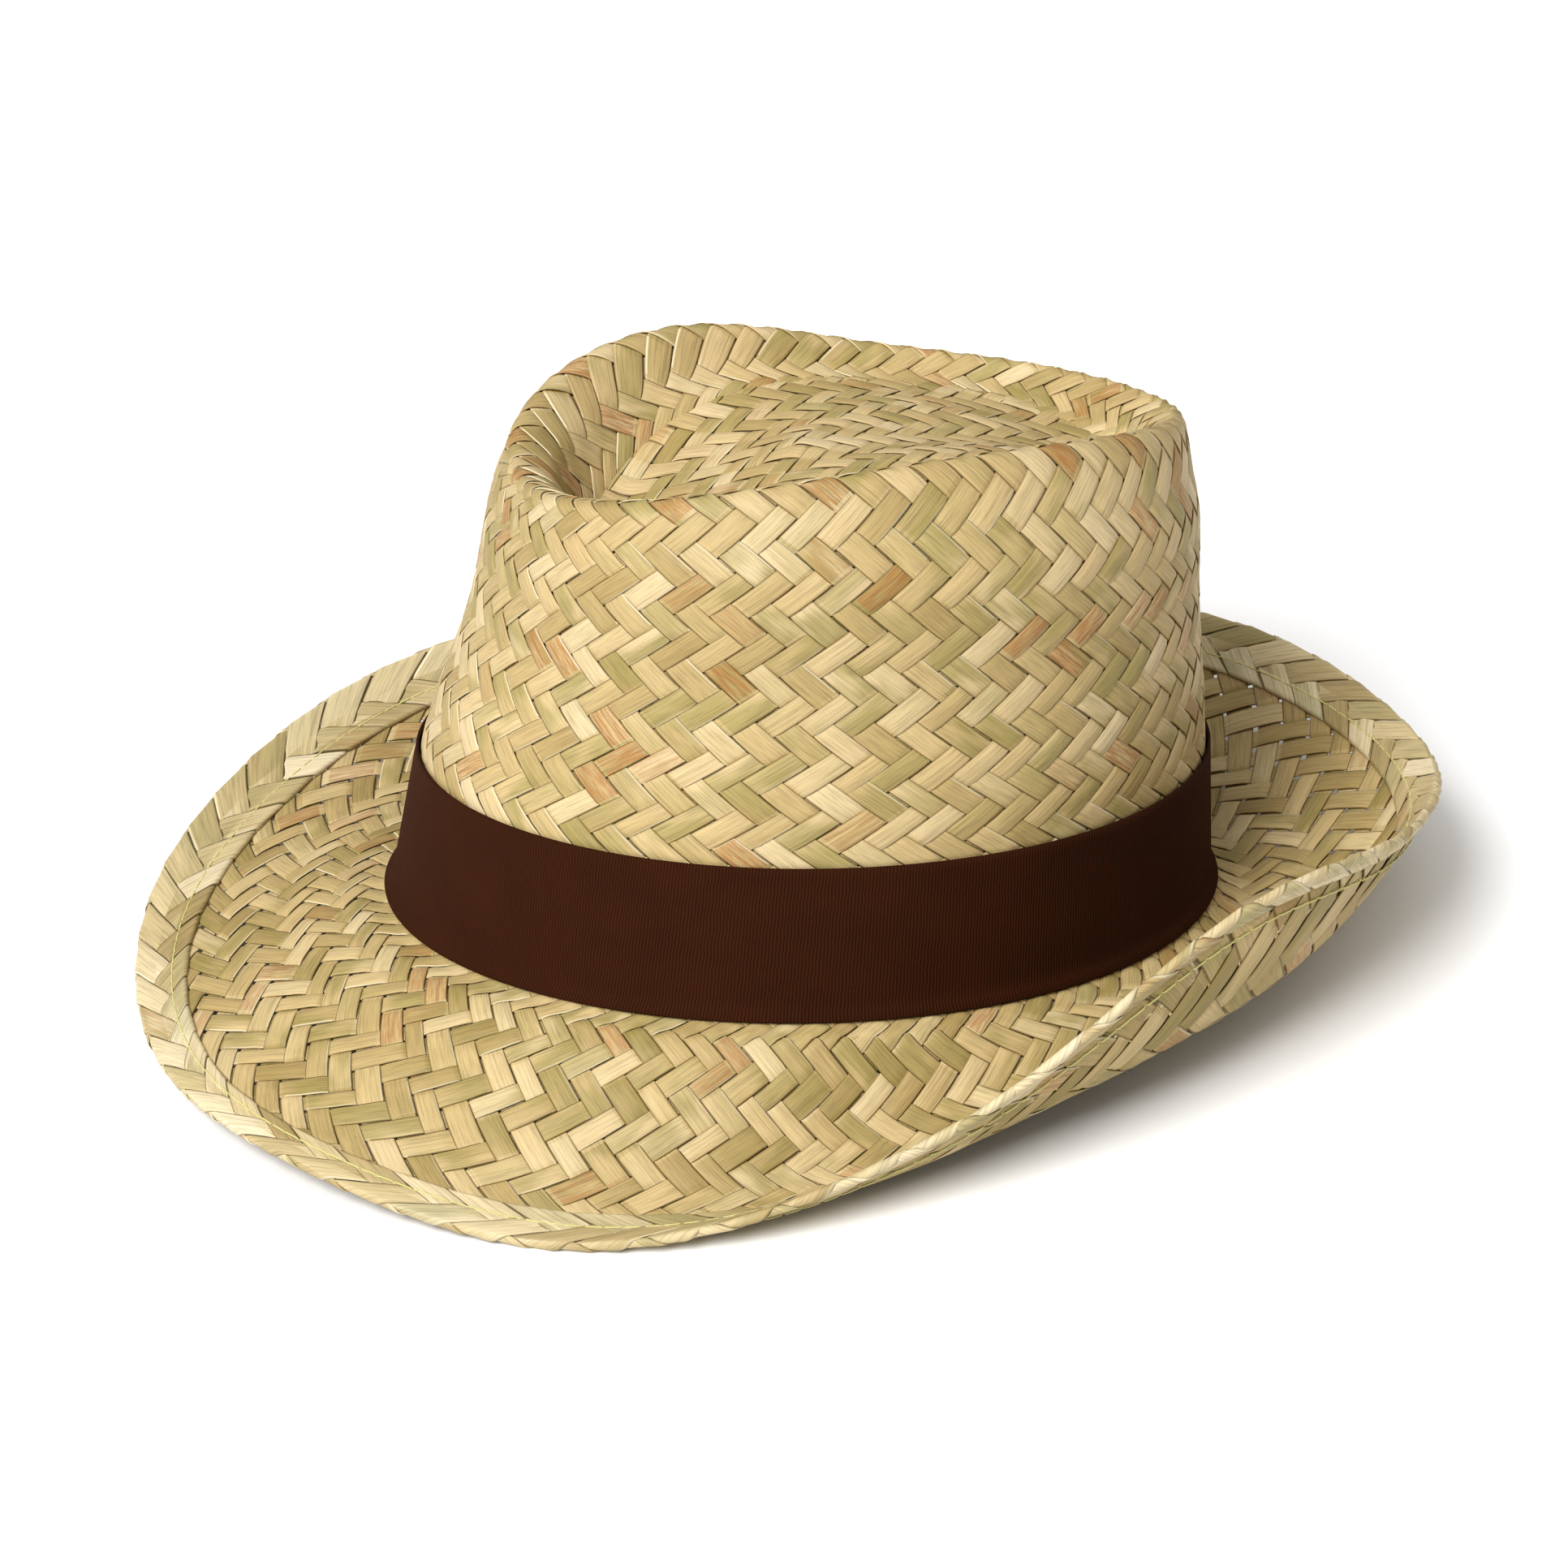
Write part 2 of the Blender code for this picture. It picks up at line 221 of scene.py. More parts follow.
def brim_edge(turn):
    """reach, lift, curl, dip, place and hem share of the brim at a turn, read smoothly from BRIM_EDGE.

    place is the power that puts the deepest sag at "low": low ^ place = 1/2
    """
    degrees = np.array(sorted(BRIM_EDGE), float)
    rows = np.array([BRIM_EDGE[d] for d in sorted(BRIM_EDGE)])
    degrees = np.concatenate([degrees - 360, degrees, degrees + 360])
    at = through(degrees, np.tile(rows, (3, 1)), np.degrees(turn) % 360)
    reach, lift, curl, dip, low, hem = np.moveaxis(at, -1, 0)
    return reach * BRIM_REACH, lift * BRIM_LIFT, curl, dip * BRIM_LIFT, np.log(0.5) / np.log(low), hem


def brim_points(turn, s):
    """The brim's top, for s from 0 at the foot's curve to 1 at the edge.

    z = lift s^curl - dip sin(pi s^place)
    """
    reach, lift, curl, dip, place, _ = brim_edge(turn)
    x, y = round_the_hat(turn, HEAD_LENGTH + 2 * FOOT_RADIUS, HEAD_WIDTH + 2 * FOOT_RADIUS)
    out = np.hypot(x, y)
    scale = 1 + (reach - FOOT_RADIUS) * s / out
    z = lift * s ** curl - dip * np.sin(math.pi * s ** place)
    return np.stack([x * scale, y * scale, z], axis=-1)


def share_from_edge(turn, width):
    """The share s of the brim that lies the given width in from its edge, by the slope at the edge.

    The width is drawn out or in as the hem is at that turn.
    """
    reach, lift, curl, dip, place, hem = brim_edge(turn)
    return 1 - width * hem / np.hypot(reach, lift * curl + dip * math.pi * place)


def seat_turn():
    """How the hat lies in the row frame, from the record's stand_seat at the middle of the crown's top."""
    seat = frame["record"]["mounts"][0]
    spin = Vector((0, 0, 1)).rotation_difference(-Vector(seat["axis"])).to_matrix()
    front, back, _, z_front = CROWN_RINGS["top"][:4]
    middle = Vector((0, (back - front) / 2 * HEAD_LENGTH / 2, z_front * CROWN_HEIGHT - STRAW))
    return np.array(spin), np.array(Vector(seat["pos_m"]) - spin @ middle)


SPIN, PLACE = seat_turn()
ROUND = np.arange(ROUND_STEPS) * 2 * math.pi / ROUND_STEPS     # turns right round the hat


def laid_down(points):
    """Points of the hat's own axes in the row frame."""
    return points @ SPIN.T + PLACE


# Surfaces and meshes


class Surface:
    """A surface round the hat, kept as a fine grid of points and of normals that face out of it.

    turn wraps round; v runs 0 to 1 in even steps. "side" is 1 where turn then v makes the outward
    normal by the right-hand rule, and -1 where it makes the inward one.
    """

    def __init__(self, points, side=1):
        self.points = points                       # steps of v, steps of turn, 3
        across = np.roll(points, -1, axis=1) - np.roll(points, 1, axis=1)
        normals = side * np.cross(across, np.gradient(points, axis=0))
        self.normals = normals / np.linalg.norm(normals, axis=-1, keepdims=True)

    def at(self, turn, v):
        """Points and normals at any turn and v, straight between the grid's own."""
        rows, columns = self.points.shape[:2]
        x = turn / (2 * math.pi) % 1 * columns
        y = np.clip(v, 0, 1) * (rows - 1)
        i, j = np.floor(x).astype(int), np.minimum(np.floor(y).astype(int), rows - 2)
        a, b = (x - i)[..., None], (y - j)[..., None]
        i, k = i % columns, (i + 1) % columns
        return [(g[j, i] * (1 - a) + g[j, k] * a) * (1 - b) + (g[j + 1, i] * (1 - a) + g[j + 1, k] * a) * b
                for g in (self.points, self.normals)]

    def levels(self, count, width):
        """The level of crossings at each step of v, for count strips of the given width.

        A strip takes pitch = girth / count of a ring, so it leans by arcsin(width / pitch), and each
        level of crossings is pitch / 2 x tan(lean) high.
        """
        girth = np.linalg.norm(self.points - np.roll(self.points, 1, axis=1), axis=-1).sum(axis=1)
        run = np.linalg.norm(np.diff(self.points, axis=0), axis=-1).mean(axis=1)
        pitch = girth / count
        height = pitch / 2 * np.tan(np.arcsin(np.clip(width / pitch, 0, STEEPEST)))
        return np.concatenate([[0], np.cumsum(run / (height[1:] + height[:-1]) * 2)])


def mesh_from(name, points, face_groups, uv, strip=None):
    """A mesh from points and arrays of faces, with a UV pair for each point, and a strip colour if given."""
    mesh = bpy.data.meshes.new(name)
    corners = np.concatenate([f.ravel() for f in face_groups])
    sides = np.concatenate([np.full(len(f), f.shape[1]) for f in face_groups])
    mesh.vertices.add(len(points))
    mesh.vertices.foreach_set("co", laid_down(points).astype(np.float32).ravel())
    mesh.loops.add(len(corners))
    mesh.loops.foreach_set("vertex_index", corners.astype(np.int32))
    mesh.polygons.add(len(sides))
    mesh.polygons.foreach_set("loop_start", np.concatenate([[0], np.cumsum(sides)[:-1]]).astype(np.int32))
    mesh.update(calc_edges=True)
    mesh.uv_layers.new(name="UVMap").data.foreach_set("uv", uv[corners].astype(np.float32).ravel())
    if strip is not None:
        attribute = mesh.attributes.new("strip", "FLOAT_COLOR", "POINT")
        attribute.data.foreach_set("color", strip.astype(np.float32).ravel())
    mesh.shade_smooth()
    return mesh


def piece_from(mesh, material, slot, *nodes):
    """The object of a mesh: it rides on the hat and stands for CAD nodes."""
    mesh.materials.append(material)
    piece = bpy.data.objects.new(mesh.name, mesh)
    bpy.context.scene.collection.objects.link(piece)
    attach(piece, "root")
    if nodes:
        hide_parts(*nodes)
    return piece


def tubes(keep, corners):
    """Faces of closed tubes whose points lie in order of tube, section and corner.

    keep says which sections each tube has, in one run; its first and last ones are capped.
    """
    count, sections = keep.shape
    index = np.arange(count * sections * corners).reshape(count, sections, corners)
    both = keep[:, 1:] & keep[:, :-1]
    here, there = index[:, :-1][both], index[:, 1:][both]
    quads = np.stack([here, np.roll(here, -1, axis=-1), np.roll(there, -1, axis=-1), there], axis=-1)
    padded = np.pad(keep, ((0, 0), (1, 1)))
    first = keep & ~padded[:, :-2]
    last = keep & ~padded[:, 2:]
    return [quads.reshape(-1, 4), index[first][:, ::-1], index[last]]


def closed_grid(rows, columns):
    """Faces of a grid of points that wraps round both ways."""
    index = np.arange(rows * columns).reshape(rows, columns)
    above, beside = np.roll(index, -1, axis=0), np.roll(index, -1, axis=1)
    return np.stack([index, above, np.roll(above, -1, axis=1), beside], axis=-1).reshape(-1, 4)


def tidy_points(points, face_groups, *extras):
    """Drops the points that no face uses."""
    used = np.unique(np.concatenate([f.ravel() for f in face_groups]))
    place = np.full(len(points), -1)
    place[used] = np.arange(len(used))
    return points[used], [place[f] for f in face_groups], *[e[used] for e in extras]


# Weaving


def strip_edges(count, unevenness, random):
    """Edges of a family of strips round the hat: evenly spaced, each moved a little, and repeating."""
    return np.arange(count) + random.uniform(-unevenness, unevenness, count)


def edge_at(edges, place):
    """Where a place counted in strips comes round the hat: straight between the edges, repeating."""
    count = len(edges)
    rounds = np.floor(place / count)
    around = np.interp(place - rounds * count, np.arange(count + 1), np.append(edges, edges[0] + count))
    return around + rounds * count


def wander(random, strips, places, spacing, reach):
    """A value for each place along each strip, smooth between random ones a spacing apart."""
    at = (places - places.min()) / spacing
    left = np.floor(at).astype(int)
    share = at - left
    share = share * share * (3 - 2 * share)
    knots = random.uniform(-reach, reach, (strips, left.max() + 2))
    return knots[:, left] * (1 - share) + knots[:, left + 1] * share


def over_and_under(place):
    """1 where a strip lies over the others and -1 where it lies under, by twos: a steep cosine, period 4."""
    return np.clip(GRIP * np.cos(math.pi / 2 * (place - 0.5)), -1, 1)


def close(turn, level):
    """Strips that lie nearly edge to edge."""
    return CLOSE


def full(turn, level):
    """Strips that lie edge to edge."""
    return FULL


def even(turn):
    """Crossings as high all the way round."""
    return 1.0


def steady(turn):
    """Strips as far apart all the way round."""
    return turn


def strip_values(random, count, visible, wave, shape):
    """Each strip's tone and hue, a number for each of its visible lengths, and how far it lies on top."""
    each = random.random((count, visible.max() + 1))[np.arange(count)[:, None, None], visible]
    values = (random.random((count, 1, 1)), random.random((count, 1, 1)), each, (wave + 1) / 2)
    return np.stack([np.broadcast_to(v, shape) for v in values], axis=-1)


def weave_family(lean, edges, crossed, first, last, random, fill, middle, rise, sections, slant):
    """The strips of one family, in coordinates of the weave.

    A strip that leans right (lean 1) keeps its place a and climbs in b; one that leans left keeps b and
    climbs in a. Level = b - a, and the turn is (a + b) / 2. Both start at level "first".
    slant 0 cuts a strip into sections along the strips it crosses, and slant 1 along the hat's rings, so
    that it bends cleanly round a fold.
    Returns a, b, height, UV and the strip values, each by strip, section and corner.
    """
    count = len(edges)
    strip = np.arange(count)[:, None, None]
    places = np.linspace(first, last, int((last - first) * sections) + 1)
    climb = places[None, :, None]
    turn = (strip + 0.5 + lean * climb / 2) * 2 * math.pi / count
    across = SECTION[:, 0] * fill(turn, climb)
    drift = wander(random, count, places, 5.0, DRIFT)[:, :, None]
    narrow = 1 + wander(random, count, places, 3.0, NARROWING)[:, :, None]
    own = strip + 0.5 + drift + across * narrow + 0 * climb
    passed = climb + lean * slant * across
    if lean > 0:
        a, b = edge_at(edges, own), edge_at(crossed, strip + 0.5 + passed)
    else:
        b, a = edge_at(edges, own), edge_at(crossed, strip + 0.5 - passed)
    wave = lean * over_and_under(passed)
    lift = wave * (rise * (1 + wander(random, count, places, 2.0, RISE_STRAY)))[:, :, None]
    tilt = wander(random, count, places, 2.0, TILT)[:, :, None] * SECTION[:, 0]
    thickness = STRIP_THICKNESS / 2 * (1 + random.uniform(-THICKNESS_STRAY, THICKNESS_STRAY, (count, 1, 1)))
    height = middle + lift + tilt + SECTION[:, 1] * thickness
    visible = np.floor((passed + (0.5 if lean > 0 else 2.5)) / 2).astype(int)
    values = strip_values(random, count, visible - visible.min(), wave, height.shape)
    along = np.broadcast_to(passed, height.shape)
    side = np.broadcast_to(SECTION[:, 0] + 0.5, height.shape)
    return a, b, height, np.stack([along, side], axis=-1), values


def woven(name, surface, levels, count, seed, material, slot, nodes, fill=close, stretch=even, turns=steady,
          middle=-STRAW_MIDDLE, rise=STRIP_RISE, unevenness=0.07, sections=SECTIONS, slant=0):
    """Two pieces of woven strips on a surface, one for each lean, through all its levels of crossings.

    stretch says how much higher the crossings are at a turn, and turns where a turn of the even weave comes
    to lie. Strips stop at the surface's last level.
    """
    random = np.random.default_rng(seed)
    steps = np.linspace(0, 1, len(levels))
    last = levels[-1] / np.min(stretch(ROUND))
    edges = {1: strip_edges(count, unevenness, random), -1: strip_edges(count, unevenness, random)}
    for lean, side in ((1, "right"), (-1, "left")):
        a, b, height, uv, values = weave_family(lean, edges[lean], edges[-lean], levels[0], last, random,
                                                fill, middle, rise, sections, slant)
        turn = turns((a + b) / 2 * 2 * math.pi / count)
        level = (b - a) * stretch(turn)
        points, normals = surface.at(turn, np.interp(level, levels, steps))
        points = points + normals * height[..., None]
        faces = tubes(level.min(axis=2) <= levels[-1], len(SECTION))
        points, faces, uv, values = tidy_points(points.reshape(-1, 3), faces, uv.reshape(-1, 2),
                                                values.reshape(-1, 4))
        piece_from(mesh_from(f"{name}_{side}", points, faces, uv, values), material, slot, *nodes)


# Materials


def rgb(red, green, blue):
    """A colour given as it looks on a screen, 0 to 255, as the shader wants it."""
    c = np.array([red, green, blue]) / 255
    return (*np.where(c <= 0.04045, c / 12.92, ((c + 0.055) / 1.055) ** 2.4), 1.0)


class Nodes:
    """Short ways to add and join nodes in one tree; a value is a number, a colour or another socket."""

    def __init__(self, tree):
        self.tree = tree

    def add(self, kind, **settings):
        node = self.tree.nodes.new(kind)
        for key, value in settings.items():
            setattr(node, key, value)
        return node

    def put(self, socket, value):
        if isinstance(value, bpy.types.NodeSocket):
            self.tree.links.new(value, socket)
        else:
            socket.default_value = value

    def math(self, operation, *values):
        node = self.add("ShaderNodeMath", operation=operation)
        for socket, value in zip(node.inputs, values):
            self.put(socket, value)
        return node.outputs[0]

    def times(self, a, b):
        return self.math("MULTIPLY", a, b)

    def plus(self, a, b):
        return self.math("ADD", a, b)

    def mix(self, share, a, b, blend="MIX"):
        node = self.add("ShaderNodeMix", data_type="RGBA", blend_type=blend)
        self.put(node.inputs["Factor"], share)
        self.put(node.inputs["A"], a)
        self.put(node.inputs["B"], b)
        return node.outputs["Result"]

    def steps(self, value, low, high, to_low=0.0, to_high=1.0, smooth=True):
        node = self.add("ShaderNodeMapRange", interpolation_type="SMOOTHSTEP" if smooth else "LINEAR")
        for socket, v in zip(node.inputs, (value, low, high, to_low, to_high)):
            self.put(socket, v)
        return node.outputs[0]

    def vector(self, x, y, z=0.0):
        node = self.add("ShaderNodeCombineXYZ")
        for socket, value in zip(node.inputs, (x, y, z)):
            self.put(socket, value)
        return node.outputs[0]

    def noise(self, vector, detail=2.0, roughness=0.5):
        node = self.add("ShaderNodeTexNoise")
        self.put(node.inputs["Vector"], vector)
        for key, value in (("Scale", 1.0), ("Detail", detail), ("Roughness", roughness)):
            self.put(node.inputs[key], value)
        return node.outputs["Fac"]

    def uv(self):
        node = self.add("ShaderNodeSeparateXYZ")
        self.put(node.inputs[0], self.add("ShaderNodeUVMap", uv_map="UVMap").outputs[0])
        return node.outputs[0], node.outputs[1]

    def bump(self, shader, height, strength, distance):
        node = self.add("ShaderNodeBump")
        for key, value in (("Strength", strength), ("Distance", distance), ("Height", height)):
            self.put(node.inputs[key], value)
        self.put(shader.inputs["Normal"], node.outputs["Normal"])


def group(name, inputs, outputs):
    """An empty shader node group with named sockets, and its input and output nodes."""
    tree = bpy.data.node_groups.new(name, "ShaderNodeTree")
    kinds = {"colour": "NodeSocketColor", "value": "NodeSocketFloat", "vector": "NodeSocketVector"}
    for socket, (kind, value) in inputs.items():
        made = tree.interface.new_socket(name=socket, in_out="INPUT", socket_type=kinds[kind])
        made.default_value = value
    for socket, kind in outputs.items():
        tree.interface.new_socket(name=socket, in_out="OUTPUT", socket_type=kinds[kind])
    n = Nodes(tree)
    return n, n.add("NodeGroupInput").outputs, n.add("NodeGroupOutput").inputs


def straw_group():
    """Dried flat straw: each strip has its own drifting tone, with fine grain, flecks, a painted highlight
    along one edge of some strips and painted shade along the other edge.

    Colour runs from shade to pale with the strip's tone, then olive and brown patches are laid over it.
    Height is the grain and the ribs that run along the strip.
    """
    n, given, out = group("straw", {
        "Pale": ("colour", rgb(203, 185, 149)), "Tan": ("colour", rgb(187, 165, 120)),
        "Shade": ("colour", rgb(161, 140, 93)), "Olive": ("colour", rgb(144, 132, 78)),
        "Brown": ("colour", rgb(156, 106, 56)), "Greenness": ("value", 0.5),
        "Brownness": ("value", 0.5)},
        {"Color": "colour", "Roughness": "value", "Height": "value"})
    along, across = n.uv()
    strip = n.add("ShaderNodeSeparateColor")
    attribute = n.add("ShaderNodeAttribute", attribute_name="strip")
    n.put(strip.inputs[0], attribute.outputs["Color"])
    tone, hue, each = strip.outputs[0], strip.outputs[1], strip.outputs[2]
    seed = n.plus(n.times(tone, 83.0), n.times(hue, 37.0))

    def pattern(lengthwise, crosswise, detail, roughness=0.5, depth=seed):
        """Noise on the strip, by how quickly it changes along the strip and across it."""
        place = n.vector(n.times(along, lengthwise), n.times(across, crosswise), depth)
        return n.noise(place, detail, roughness)

    # slow changes along the strip, and changes from one visible length to the next
    drift = n.noise(n.vector(n.times(along, 0.16), seed, 0.0), 2.0)
    lengths = n.noise(n.vector(n.times(each, 41.0), seed, 3.0), 0.0)
    light = n.plus(n.times(each, 0.50), n.plus(n.times(tone, 0.26), n.times(drift, 0.30)))
    # grain: lines along the strip
    fibres = pattern(0.55, 15.0, 3.0, 0.6)
    ribs = pattern(0.12, 5.0, 1.0)
    streaks = pattern(0.9, 34.0, 2.0, 0.7)
    colour = n.mix(n.steps(light, 0.22, 0.56, smooth=False), given["Shade"], given["Tan"])
    colour = n.mix(n.steps(light, 0.55, 0.98, smooth=False), colour, given["Pale"])
    # olive lengths, fading in patches
    olive = n.steps(n.plus(n.times(hue, 0.45), n.times(lengths, 0.75)), 0.50, 0.80)
    fade = n.steps(pattern(0.45, 0.8, 1.0, depth=n.plus(seed, 9.0)), 0.30, 0.62)
    colour = n.mix(n.times(n.times(olive, fade), given["Greenness"]), colour, given["Olive"])
    # a few mottled brown lengths
    brown = n.steps(n.math("FRACT", n.plus(n.times(each, 17.3), n.times(tone, 5.1))), 0.90, 0.95)
    mottled = n.steps(pattern(0.8, 9.0, 3.0, 0.7), 0.30, 0.66)
    colour = n.mix(n.times(n.times(brown, mottled), given["Brownness"]), colour, given["Brown"])
    grain = n.steps(n.plus(n.times(fibres, 0.6), n.times(streaks, 0.4)), 0.32, 0.60, 0.70, 1.08)
    colour = n.mix(1.0, colour, n.vector(grain, grain, grain), "MULTIPLY")
    flecks = n.steps(pattern(7.0, 24.0, 2.0, 0.8), 0.66, 0.74)
    colour = n.mix(n.times(flecks, 0.45), colour, rgb(96, 74, 40))
    # painted highlight: one edge of some strips is painted pale
    painted_highlight_edge = n.times(n.steps(across, 0.90, 0.97), n.steps(n.math("FRACT", n.times(each, 7.7)), 0.60, 0.70))
    colour = n.mix(n.times(painted_highlight_edge, 0.6), colour, rgb(232, 221, 190))
    # painted shade: the other edge of every strip is painted a little dark, beside the gap to the next strip
    painted_shade_edge = n.math("SUBTRACT", 1.0, n.steps(across, 0.015, 0.075))
    colour = n.mix(n.times(painted_shade_edge, 0.45), colour, rgb(104, 82, 46))
    n.put(out["Color"], colour)
    n.put(out["Roughness"], n.steps(fibres, 0.2, 0.8, 0.46, 0.66, smooth=False))
    n.put(out["Height"], n.plus(n.times(ribs, 0.65), n.plus(n.times(fibres, 0.30), n.times(streaks, 0.12))))
    return n.tree


STRAW_GROUP = straw_group()


def new_material(name):
    """A material, the helper for its nodes, and its shader."""
    material = bpy.data.materials.new(name)
    material.use_nodes = True
    return material, Nodes(material.node_tree), material.node_tree.nodes["Principled BSDF"]


def straw_material(name, colours, greenness, brownness):
    """A straw finish from the straw group, with its own colours."""
    material, n, shader = new_material(name)
    straw = n.add("ShaderNodeGroup", node_tree=STRAW_GROUP)
    for key, value in colours.items():
        straw.inputs[key].default_value = value
    straw.inputs["Greenness"].default_value = greenness
    straw.inputs["Brownness"].default_value = brownness
    n.put(shader.inputs["Base Color"], straw.outputs["Color"])
    n.put(shader.inputs["Roughness"], straw.outputs["Roughness"])
    shader.inputs["Specular IOR Level"].default_value = 0.35
    n.bump(shader, straw.outputs["Height"], 0.6, 0.00035)
    return material


def fabric_material():
    """Dark brown ribbed cloth: fine upright ribs with small slanting threads, by the band's UV, with painted
    shade in their grooves.
    """
    material, n, shader = new_material("band_fabric")
    along, up = n.uv()          # millimetres round the hat and up the band
    wobble = n.times(n.noise(n.vector(n.times(along, 0.2), n.times(up, 0.3))), 0.8)
    ribs = n.math("SINE", n.times(n.plus(along, wobble), 2 * math.pi / RIB_SPACING))
    threads = n.math("SINE", n.times(n.plus(n.times(up, 1.0), n.times(along, 0.6)),
                                     2 * math.pi / THREAD_SPACING))
    height = n.plus(n.times(ribs, 0.5), n.times(threads, 0.3))
    cloud = n.noise(n.vector(n.times(along, 0.05), n.times(up, 0.08)), 3.0)
    fuzz = n.noise(n.vector(n.times(along, 2.5), n.times(up, 2.5)))
    # partly painted shade: darker in the grooves and lighter on the tops of the ribs and threads; the cloud
    # and fuzz are the cloth's own uneven tone
    light = n.plus(n.times(n.steps(height, -0.8, 0.8), 0.55),
                   n.plus(n.times(cloud, 0.25), n.times(fuzz, 0.25)))
    colour = n.mix(n.steps(light, 0.2, 0.9, smooth=False), rgb(33, 12, 2), rgb(70, 34, 9))
    n.put(shader.inputs["Base Color"], colour)
    shader.inputs["Roughness"].default_value = 0.9
    shader.inputs["Specular IOR Level"].default_value = 0.15
    shader.inputs["Sheen Weight"].default_value = 0.04
    shader.inputs["Sheen Roughness"].default_value = 0.5
    shader.inputs["Sheen Tint"].default_value = rgb(170, 120, 80)
    n.bump(shader, height, 0.5, 0.0002)
    return material


def thread_material():
    """Pale yellow-green thread, twisted: fine slanting lines by the thread's UV, with painted shade in the
    twist's grooves.
    """
    material, n, shader = new_material("thread")
    along, around = n.uv()
    twist = n.math("SINE", n.times(n.plus(n.times(along, 1.4), around), 4 * math.pi))
    # painted shade: darker in the twist's grooves and paler on its ridges
    colour = n.mix(n.steps(twist, -1.0, 1.0), rgb(176, 172, 104), rgb(222, 216, 150))
    n.put(shader.inputs["Base Color"], colour)
    shader.inputs["Roughness"].default_value = 0.6
    n.bump(shader, twist, 0.4, 0.0001)
    return material


# The crown


def crown_surface():
    """The crown's outside from its foot to the foot of the dent, where it dives under the dent's floor.

    It sinks by SEAM_DIVE t^2, with t from 0 to 1 over the last SEAM_SHARE of the way.
    """
    knots, rings = crown_knots(ROUND)
    dent_foot = knots[3 + list(CROWN_RINGS).index("dent_foot")]
    places = np.linspace(0, dent_foot, CROWN_ROWS)
    surface = Surface(through(knots, rings, places))
    t = np.clip((np.linspace(0, 1, len(places)) - 1) / SEAM_SHARE + 1, 0, 1)
    surface.points -= surface.normals * SEAM_DIVE * (t ** 2)[:, None, None]
    return surface


def make_crown():
    """The crown's straw, from its foot up over the ridge and down to the foot of the dent."""
    surface = crown_surface()
    straw = straw_material("crown_straw", {}, 0.75, 0.8)
    woven("crown_straw", surface, surface.levels(CROWN_STRIPS, STRIP_WIDTH), CROWN_STRIPS,
          SEEDS["crown"], straw, "crown_straw", ["crown"])


def dent_field(spacing=0.001):
    """Heights of the dent's floor on a square grid: for each point, the ring whose outline passes through it.

    Rings are told apart by halving: a point lies outside a ring if it is further from the ring's middle
    than the outline is in that direction. Past the foot of the dent the floor keeps that outline's height.
    """
    knots, rings = crown_knots(ROUND)
    places = np.linspace(knots[3 + list(CROWN_RINGS).index("dent_foot")], 1, 80)
    rings = through(knots, rings, places)
    middles = rings.mean(axis=1)[:, :2]
    away = rings[:, :, :2] - middles[:, None]
    angle, far = np.arctan2(away[..., 0], -away[..., 1]), np.hypot(away[..., 0], away[..., 1])
    angles = np.linspace(-math.pi, math.pi, 361)
    table = np.empty((len(rings), len(angles), 2))
    for row, (a, f, z) in enumerate(zip(angle, far, rings[:, :, 2])):
        order = np.argsort(a)
        table[row, :, 0] = np.interp(angles, a[order], f[order], period=2 * math.pi)
        table[row, :, 1] = np.interp(angles, a[order], z[order], period=2 * math.pi)

    def read(row, x, y):
        """How far a point lies inside a ring's outline, and the outline's height in its direction."""
        i = np.clip(row.astype(int), 0, len(rings) - 2)
        b = row - i
        middle = middles[i] * (1 - b)[..., None] + middles[i + 1] * b[..., None]
        dx, dy = x - middle[..., 0], y - middle[..., 1]
        at = (np.arctan2(dx, -dy) + math.pi) / (2 * math.pi) * (len(angles) - 1)
        j = np.clip(at.astype(int), 0, len(angles) - 2)
        a = (at - j)[..., None]
        low = table[i, j] * (1 - a) + table[i, j + 1] * a
        high = table[i + 1, j] * (1 - a) + table[i + 1, j + 1] * a
        both = low * (1 - b)[..., None] + high * b[..., None]
        return both[..., 0] - np.hypot(dx, dy), both[..., 1]

    low, high = rings[0].min(axis=0) - 0.008, rings[0].max(axis=0) + 0.008
    xs, ys = np.arange(low[0], high[0], spacing), np.arange(low[1], high[1], spacing)
    x, y = np.meshgrid(xs, ys)
    near, far = np.zeros(x.shape), np.full(x.shape, len(rings) - 1.001)
    for _ in range(14):
        middle = (near + far) / 2
        inside = read(middle, x, y)[0] > 0
        near, far = np.where(inside, middle, near), np.where(inside, far, middle)
    room, _ = read(np.zeros(x.shape), x, y)
    _, z = read(near, x, y)
    for _ in range(3):
        z[1:-1, 1:-1] = (z[1:-1, 1:-1] * 2 + z[:-2, 1:-1] + z[2:, 1:-1] + z[1:-1, :-2] + z[1:-1, 2:]) / 6
    return xs, ys, z, room


